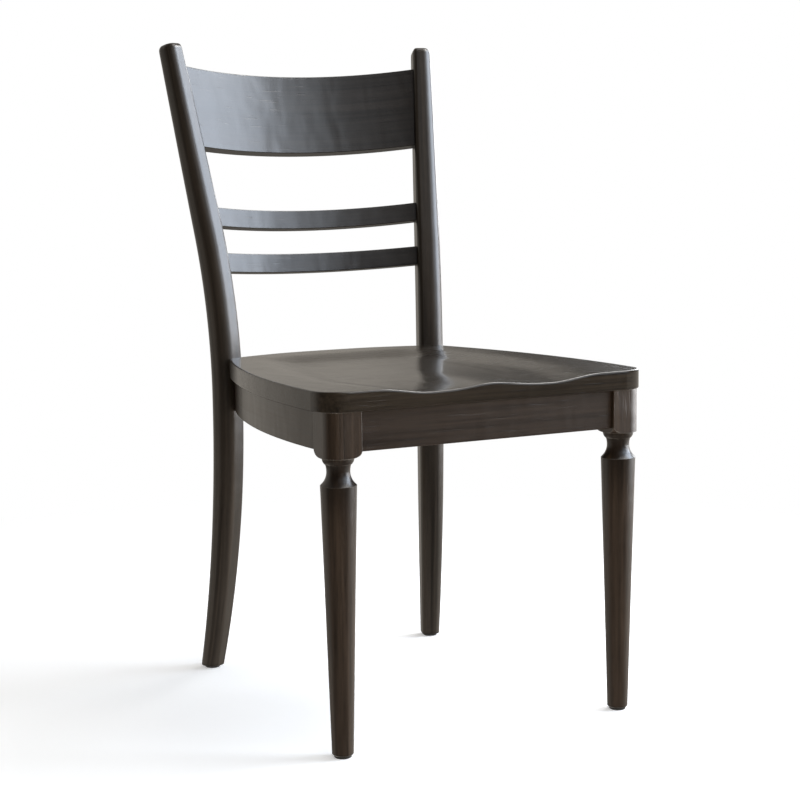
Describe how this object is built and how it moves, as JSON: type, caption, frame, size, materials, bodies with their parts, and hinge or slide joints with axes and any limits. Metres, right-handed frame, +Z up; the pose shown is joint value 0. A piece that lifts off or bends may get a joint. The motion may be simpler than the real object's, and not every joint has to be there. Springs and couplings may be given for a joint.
{
  "type": "panel back side chair",
  "caption": "Armless wooden dining chair with a bowed panel crest over slim slats, sabre rear posts, a carved saddle seat on aprons and turned, tapered front legs.",
  "frame": {"origin": "on the floor, under the middle of the chair's bounding box", "axes": "+Z up, -Y is the chair's front, +X to the right for someone who faces the front"},
  "size_m": [0.4792, 0.6064, 0.9089],
  "materials": {
    "stained_wood": "dark grey-brown stain under satin lacquer",
    "brace_wood": "sawn hardwood, unstained",
    "screw_steel": "zinc plated",
    "glide_nylon": "matte"
  },
  "bodies": {
    "root": {"seat": "stained_wood", "crest_panel": "stained_wood", "upper_slat": "stained_wood", "lower_slat": "stained_wood", "front_apron": "stained_wood", "rear_apron": "stained_wood", "left_side_apron": "stained_wood", "right_side_apron": "stained_wood", "left_front_leg": "stained_wood", "right_front_leg": "stained_wood", "left_rear_post": "stained_wood", "right_rear_post": "stained_wood", "front_left_brace": "brace_wood", "front_right_brace": "brace_wood", "rear_left_brace": "brace_wood", "rear_right_brace": "brace_wood", "brace_screws": "screw_steel", "seat_screws": "screw_steel", "front_glides": "glide_nylon", "rear_glides": "glide_nylon"}
  },
  "joints": []
}
